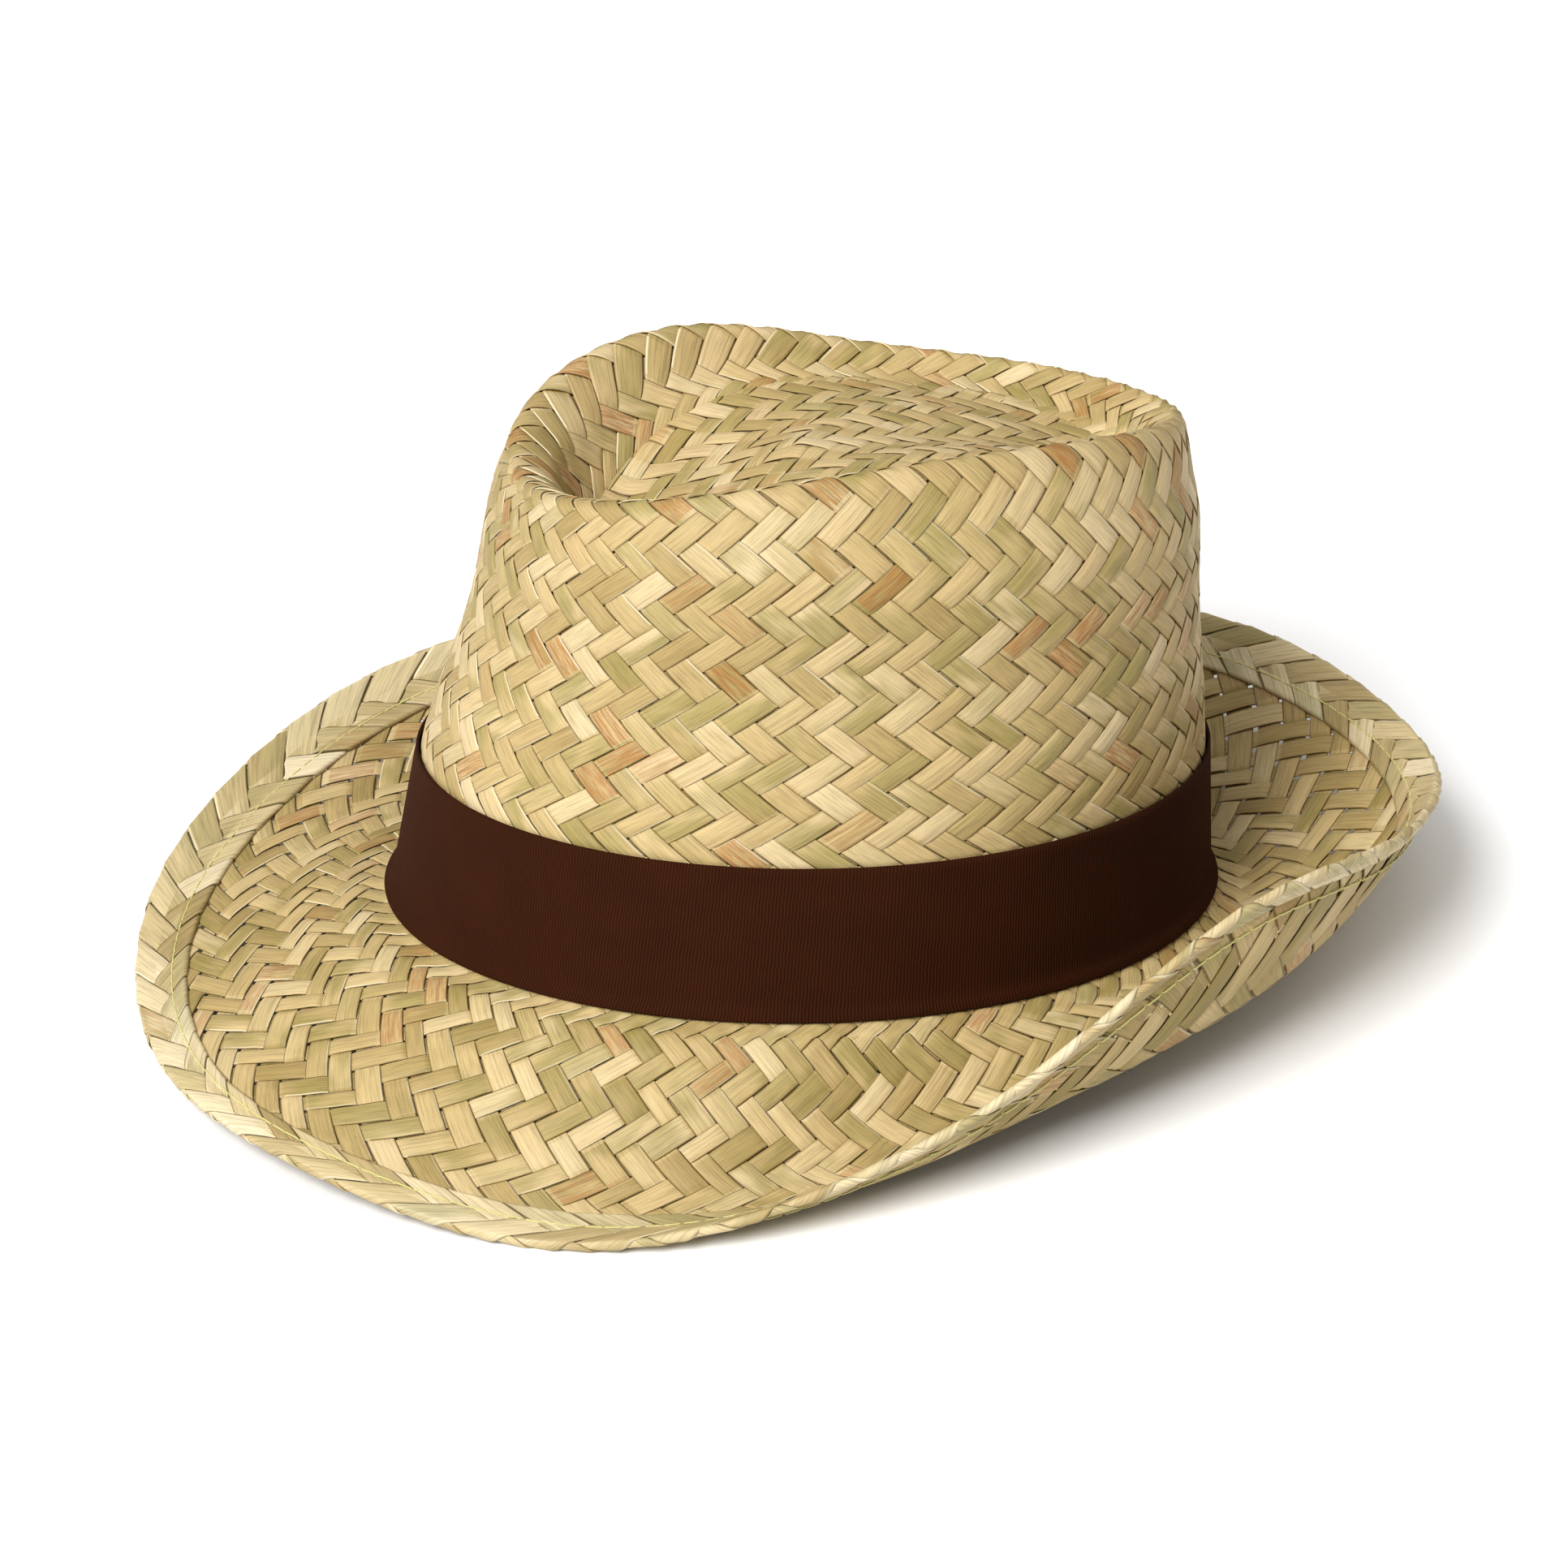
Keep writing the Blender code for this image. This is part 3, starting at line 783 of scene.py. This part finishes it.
def make_top():
    """The dent's floor: straight strips that cross at right angles, by twos, laid over its heights."""
    random = np.random.default_rng(SEEDS["top"])
    xs, ys, heights, room = dent_field()
    spacing = xs[1] - xs[0]
    slope_y, slope_x = np.gradient(heights, spacing)
    count = TOP_STRIPS
    middle_y = (ys[0] + ys[-1]) / 2
    places = np.linspace(-count / 2, count / 2, count * SECTIONS + 1)
    straw = straw_material("top_straw", {}, 0.7, 0.5)
    random.random(2 * (count + 1))     # not used: it keeps the draws below as they were chosen
    for lean, side in ((1, "right"), (-1, "left")):
        strip = (np.arange(count) - count / 2)[:, None, None]
        across = SECTION[:, 0] * TOP_FILL
        drift = wander(random, count, places, 5.0, DRIFT)[:, :, None]
        own = strip + 0.5 + drift + across + 0 * places[None, :, None]
        along = places[None, :, None] + 0 * own
        step = places[None, :, None] - 0.5 - strip
        wave = lean * over_and_under(step if lean > 0 else -step)
        p, q = (along, own) if lean > 0 else (own, along)
        x = (p - q) / math.sqrt(2) * STRIP_WIDTH
        y = middle_y + (p + q) / math.sqrt(2) * STRIP_WIDTH
        i = np.clip(((x - xs[0]) / spacing).astype(int), 0, len(xs) - 2)
        j = np.clip(((y - ys[0]) / spacing).astype(int), 0, len(ys) - 2)
        a = np.clip((x - xs[0]) / spacing - i, 0, 1)
        b = np.clip((y - ys[0]) / spacing - j, 0, 1)

        def read(grid):
            """A grid's value at each point, straight between its own."""
            return ((grid[j, i] * (1 - a) + grid[j, i + 1] * a) * (1 - b)
                    + (grid[j + 1, i] * (1 - a) + grid[j + 1, i + 1] * a) * b)

        z, gx, gy, inside = read(heights), read(slope_x), read(slope_y), read(room)
        normal = np.stack([-gx, -gy, np.ones(z.shape)], axis=-1)
        normal /= np.linalg.norm(normal, axis=-1, keepdims=True)
        lift = wave * STRIP_RISE + wander(random, count, places, 2.0, 0.0001)[:, :, None] * across
        height = -STRAW_MIDDLE + lift + SECTION[:, 1] * STRIP_THICKNESS / 2
        points = np.stack([x, y, z], axis=-1) + normal * height[..., None]
        keep = inside.min(axis=2) > -FLOOR_MARGIN
        visible = np.floor((step + 40.5) / 2).astype(int)     # 40 keeps it above 0
        values = strip_values(random, count, visible, wave, height.shape)
        uv = np.stack([along, np.broadcast_to(SECTION[:, 0] + 0.5, height.shape)], axis=-1)
        order = slice(None) if lean > 0 else slice(None, None, -1)
        points, values, uv = (g[:, :, order].reshape(-1, g.shape[-1]) for g in (points, values, uv))
        points, faces, uv, values = tidy_points(points, tubes(keep, len(SECTION)), uv, values)
        piece_from(mesh_from(f"top_straw_{side}", points, faces, uv, values), straw, "crown_straw", "crown")


# The brim and its hem


def brim_weave(turn, level):
    """How full the brim's weave is: close on the wearer's left, loose with small holes round the rest."""
    loose = np.clip((1 - np.cos(turn - CLOSE_TURN)) / 1.1, 0, 1)
    return CLOSE - 0.115 * loose * np.clip(level / 5, 0, 1)


def brim_stretch(turn):
    """The crossings are high at the back of the brim, lower at its front and where the weave is closest."""
    return 1.10 + 0.16 * np.cos(turn - HIGH_TURN) - 0.09 * near_turn(turn, CLOSE_TURN)


def brim_turns(turn):
    """The brim's strips lie closest together at CLOSE_TURN: turn - CLOSENESS sin(turn - CLOSE_TURN)."""
    return turn - CLOSENESS * np.sin(turn - CLOSE_TURN)


def make_brim():
    """The brim's straw, from the seam under the band out to the fold of its edge."""
    collar = np.stack([wall_points(ROUND, FOOT_RADIUS * (1 - a)) for a in np.linspace(0, 1, 30)[:-1]])
    inner = share_from_edge(ROUND, UNDERSIDE_WIDTH - 0.0005)
    flat = np.stack([brim_points(ROUND, inner * s) for s in np.linspace(0, 1, BRIM_ROWS)])
    surface = Surface(np.concatenate([collar, flat]), side=-1)
    width = BRIM_STRIP_WIDTH * (1 + BRIM_SPREAD * np.linspace(0, 1, len(surface.points)))
    tones = {"Pale": rgb(201, 183, 145), "Tan": rgb(184, 162, 116), "Shade": rgb(154, 133, 86),
             "Olive": rgb(137, 124, 69), "Brown": rgb(158, 112, 70)}
    straw = straw_material("brim_straw", tones, 0.68, 0.7)
    woven("brim_straw", surface, surface.levels(BRIM_STRIPS, width), BRIM_STRIPS,
          SEEDS["brim"], straw, "brim_straw", ["brim"], fill=brim_weave, stretch=brim_stretch,
          turns=brim_turns, unevenness=0.09)


def hem_section():
    """The hem's path in section, as distance in from the edge and height over the brim's middle.

    It starts under the fold on top, rolls over the fold, runs out to the edge, round it, and back along
    the underside for UNDERSIDE_WIDTH.
    """
    turns = np.linspace(0, math.pi, 9)
    fold_radius = (HEM_TOP - 0.0001) / 2
    fold = np.stack([HEM_WIDTH - fold_radius + fold_radius * np.sin(turns),
                     HEM_TOP - fold_radius - fold_radius * np.cos(turns)], axis=1)
    edge_radius = (HEM_TOP - HEM_UNDER) / 2
    edge = np.stack([edge_radius - edge_radius * np.sin(turns), edge_radius * np.cos(turns)], axis=1)
    start, top = (HEM_WIDTH - 0.004, 0.0002), (HEM_WIDTH / 2, HEM_TOP + 0.0002)
    under = [(UNDERSIDE_WIDTH - 0.001, HEM_UNDER), (UNDERSIDE_WIDTH + 0.001, HEM_UNDER + 0.0006)]
    return np.concatenate([[start], fold, [top], edge, under])


def brim_frame(turn, width):
    """Points on the brim's middle at a width in from its edge, and the brim's upward normals there."""
    share = share_from_edge(turn, width)
    step = 0.002
    here = brim_points(turn, share)
    out = brim_points(turn, share + step) - here
    around = brim_points(turn + step, share_from_edge(turn + step, width)) - here
    normal = np.cross(out, around)
    normal /= np.linalg.norm(normal, axis=-1, keepdims=True)
    return here - normal * STRAW_MIDDLE, normal


def hem_surface():
    """The hem's folded straw as a surface, and how far along its section each corner of its path lies."""
    path = hem_section()
    run = np.concatenate([[0], np.cumsum(np.linalg.norm(np.diff(path, axis=0), axis=1))])
    fine = np.linspace(0, run[-1], HEM_ROWS)
    width, height = np.interp(fine, run, path[:, 0]), np.interp(fine, run, path[:, 1])
    rows = []
    for w, h in zip(width, height):
        point, normal = brim_frame(ROUND, w)
        rows.append(point + normal * h)
    return Surface(np.stack(rows), side=-1), run


def make_hem():
    """The brim's edge folded over: two rows of straw on top, which wrap round the edge to the underside."""
    surface, run = hem_surface()
    fold, edge = run[5], run[15]     # the middles of the two rolls
    along = (np.linspace(0, run[-1], len(surface.points)) - fold) / (edge - fold)
    levels = HEM_FIRST + along * (HEM_LAST - HEM_FIRST)
    pale = {"Pale": rgb(222, 210, 182), "Tan": rgb(194, 176, 136), "Shade": rgb(158, 138, 95),
            "Olive": rgb(152, 145, 100)}
    straw = straw_material("hem_straw", pale, 0.6, 0.4)
    woven("hem_straw", surface, levels, HEM_STRIPS, SEEDS["hem"], straw, "hem_straw", ["brim_hem"],
          fill=full, middle=0.0, rise=STRIP_RISE * 0.7, sections=HEM_SECTIONS, slant=1)


def make_hem_inside():
    """The straw turned in under the hem's top layer: a thin closed sheet that fills the fold."""
    surface, _ = hem_surface()
    points, normals = surface.points[::4, ::2], surface.normals[::4, ::2]
    depth = HEM_INSIDE + SHEET_THICKNESS
    rings = np.concatenate([points - normals * HEM_INSIDE, (points - normals * depth)[::-1]])
    rows, columns = rings.shape[:2]
    random = np.random.default_rng(SEEDS["hem_inside"])
    place = np.arange(columns) / columns * HEM_STRIPS
    tones = random.random((HEM_STRIPS, 4))[place.astype(int)]
    strip = np.broadcast_to(tones[None], (rows, columns, 4)).reshape(-1, 4)
    uv = np.stack([np.broadcast_to(np.arange(rows)[:, None] * 0.1, (rows, columns)),
                   np.broadcast_to(0.2 + 0.6 * (place % 1), (rows, columns))], axis=-1).reshape(-1, 2)
    straw = bpy.data.materials["hem_straw"]
    mesh = mesh_from("hem_straw_inside", rings.reshape(-1, 3), [closed_grid(rows, columns)], uv, strip)
    piece_from(mesh, straw, "hem_straw", "brim_hem")


def thread_tube(name, line, normals):
    """A round tube of thread along a closed line of points."""
    count, corners = len(line), 6
    along = np.roll(line, -1, axis=0) - np.roll(line, 1, axis=0)
    along /= np.linalg.norm(along, axis=1, keepdims=True)
    side = np.cross(along, normals)
    angle = np.arange(corners) * 2 * math.pi / corners
    points = line[:, None] + THREAD_RADIUS * (np.cos(angle)[:, None] * side[:, None]
                                              + np.sin(angle)[:, None] * normals[:, None])
    run = np.concatenate([[0], np.cumsum(np.linalg.norm(np.diff(line, axis=0), axis=1))])
    uv = np.stack([np.repeat(run / THREAD_RADIUS / 8, corners), np.tile(angle / (2 * math.pi), count)],
                  axis=-1)
    return mesh_from(name, points.reshape(-1, 3), [closed_grid(count, corners)], uv)


def make_stitching():
    """Running stitches round the hem, above and below: straight lengths that dip at the needle holes."""
    thread = thread_material()
    turn = np.linspace(0, 2 * math.pi, 1561)[:-1]
    width = STITCH_LINE * (1 - 0.3 * np.maximum(0, np.cos(turn - STITCH_NEAR)))
    for name, height, up in (("stitching_top", HEM_TOP + 0.0005, 1), ("stitching_under", -0.0008, -1)):
        point, normal = brim_frame(turn, width)
        run = np.concatenate([[0], np.cumsum(np.linalg.norm(np.diff(point, axis=0), axis=1))])
        stitches = round(run[-1] / STITCH_LENGTH)
        phase = (run / run[-1] * stitches) % 1
        dip = np.clip(1 - np.minimum(phase, 1 - phase) * 9, 0, 1) ** 1.5
        line = point + normal * (height - up * dip * STITCH_DIP)[:, None]
        piece_from(thread_tube(name, line, normal), thread, "hem_straw")


# The band


def make_band():
    """A strip of cloth stretched round the foot of the crown, with a thin rounded edge above and below."""
    turn = np.arange(360) * 2 * math.pi / 360
    z = np.linspace(BAND_FOOT, BAND_WIDTH, 22)
    surface = Surface(np.stack([wall_points(turn, h) for h in z]))
    inner = surface.points + surface.normals * BAND_GAP
    outer = inner + surface.normals * FABRIC_THICKNESS
    low_edge = (inner[0] + outer[0]) / 2 + (outer[0] - outer[1]) * 0.12
    high_edge = (inner[-1] + outer[-1]) / 2 + (outer[-1] - outer[-2]) * 0.12
    rings = np.concatenate([[low_edge], outer, [high_edge], inner[::-1]])
    rows, columns = rings.shape[:2]
    quads = closed_grid(rows, columns)[:, [0, 3, 2, 1]]     # these rings run the other way round
    girth = np.linalg.norm(outer[10] - np.roll(outer[10], 1, axis=0), axis=1).sum()
    high = np.linalg.norm(np.diff(outer[:, 0], axis=0), axis=1).sum()
    up = np.concatenate([[-0.1], np.linspace(0, 1, 22), [1.1], np.linspace(1, 0, 22)]) * high * 1000
    uv = np.stack([np.broadcast_to(np.arange(columns) / columns * girth * 1000, (rows, columns)),
                   np.broadcast_to(up[:, None], (rows, columns))], axis=-1)
    mesh = mesh_from("band_cloth", rings.reshape(-1, 3), [quads], uv.reshape(-1, 2))
    # the UV of the last column's faces runs on to the full girth
    layer = mesh.uv_layers[0]
    flat = np.empty(len(quads) * 8, np.float32)
    layer.data.foreach_get("uv", flat)
    flat = flat.reshape(-1, 4, 2)
    wrap = flat[:, :, 0].max(axis=1) - flat[:, :, 0].min(axis=1) > girth * 500
    around = flat[wrap, :, 0]
    flat[wrap, :, 0] = np.where(around < girth * 500, around + girth * 1000, around)
    layer.data.foreach_set("uv", flat.ravel())
    band = piece_from(mesh, fabric_material(), "band_fabric", "hat_band")


# Floor, light and camera


def make_floor():
    """A plain pale floor."""
    size = 6.0
    mesh = bpy.data.meshes.new("floor")
    corners = [(-size, -size, 0), (size, -size, 0), (size, size, 0), (-size, size, 0)]
    mesh.from_pydata(corners, [], [(0, 1, 2, 3)])
    floor = bpy.data.objects.new("floor", mesh)
    bpy.context.scene.collection.objects.link(floor)
    material, _, shader = new_material("pale_floor")
    shader.inputs["Base Color"].default_value = (0.90, 0.90, 0.90, 1)
    shader.inputs["Roughness"].default_value = 0.85
    mesh.materials.append(material)


def direction(azimuth, elevation):
    """From the hat towards a light or a camera: azimuth 0 is the front, and both are in degrees."""
    a, e = math.radians(azimuth), math.radians(elevation)
    return Vector((math.sin(a) * math.cos(e), -math.cos(a) * math.cos(e), math.sin(e)))


def soft_light(name, azimuth, elevation, spread, strength):
    """A broad, even light from a direction, with its spread in degrees."""
    light = bpy.data.lights.new(name, "SUN")
    light.angle = math.radians(spread)
    light.energy = strength
    lamp = bpy.data.objects.new(name, light)
    bpy.context.scene.collection.objects.link(lamp)
    lamp.location = direction(azimuth, elevation)
    lamp.rotation_euler = lamp.location.to_track_quat("Z", "Y").to_euler()


def make_light():
    """Soft studio light: a bright room, a broad light from the camera's left and a weaker one from above."""
    world = bpy.data.worlds.new("studio")
    bpy.context.scene.world = world
    world.use_nodes = True
    colour, strength = world.node_tree.nodes["Background"].inputs[:2]
    colour.default_value, strength.default_value = (1, 0.99, 0.97, 1), 0.38
    soft_light("left_light", 38, 45, 34, 3.12)
    soft_light("top_light", 80, 78, 60, 0.6)


def make_camera():
    """The photograph's camera, which looks at its target and is rolled a little."""
    data = bpy.data.cameras.new("camera")
    data.lens, data.sensor_width = CAMERA_LENS, 36
    data.clip_start, data.clip_end = 0.05, 50
    camera = bpy.data.objects.new("camera", data)
    bpy.context.scene.collection.objects.link(camera)
    back = direction(CAMERA_AZIMUTH, CAMERA_ELEVATION)
    camera.location = Vector(CAMERA_TARGET) + back * CAMERA_DISTANCE
    camera.rotation_mode = "QUATERNION"
    roll = Quaternion((0, 0, 1), math.radians(CAMERA_ROLL))
    camera.rotation_quaternion = (-back).to_track_quat("-Z", "Y") @ roll
    bpy.context.scene.camera = camera


make_camera()
make_light()
make_floor()
make_crown()
make_top()
make_brim()
make_hem()
make_hem_inside()
make_stitching()
make_band()
bpy.context.scene.view_settings.view_transform = "Standard"
bpy.context.scene.view_settings.look = "Medium High Contrast"
bpy.context.view_layer.update()
